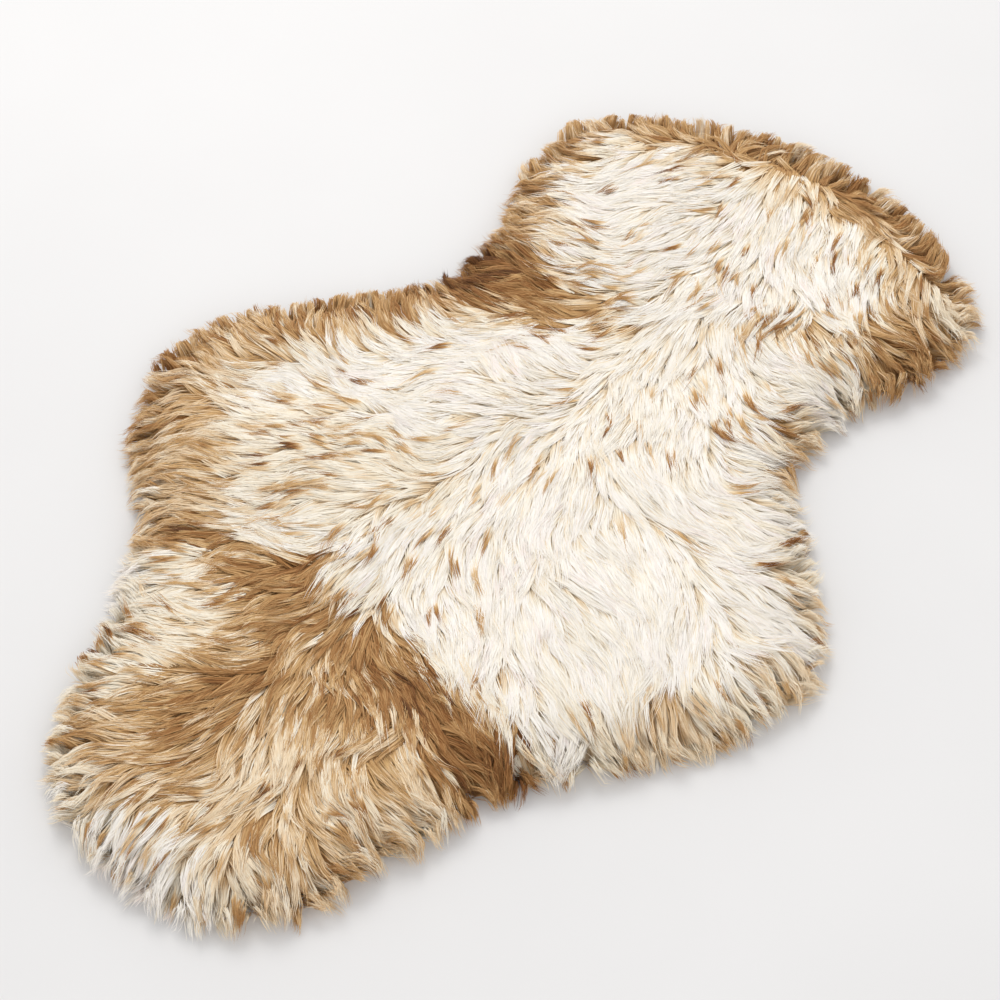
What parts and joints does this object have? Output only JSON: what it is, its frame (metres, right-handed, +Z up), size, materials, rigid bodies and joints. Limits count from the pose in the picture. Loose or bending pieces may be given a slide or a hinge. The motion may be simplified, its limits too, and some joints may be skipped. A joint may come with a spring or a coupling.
{
  "type": "sheepskin rug",
  "caption": "Long-wool sheepskin rug, a single whole pelt lying flat, white and cream in the middle and caramel brown round its edge.",
  "frame": {"origin": "middle of the rug's outline, on the surface that it lies on", "axes": "+X across the pelt to its right side, +Y along the pelt from the neck end to the rump end, +Z up, out of the wool"},
  "size_m": [0.8454, 1.25, 0.0634],
  "materials": {
    "wool": "long, loose, silky wool in tapering locks on a suede-faced hide"
  },
  "bodies": {
    "root": {"sheepskin": "wool"}
  },
  "joints": []
}
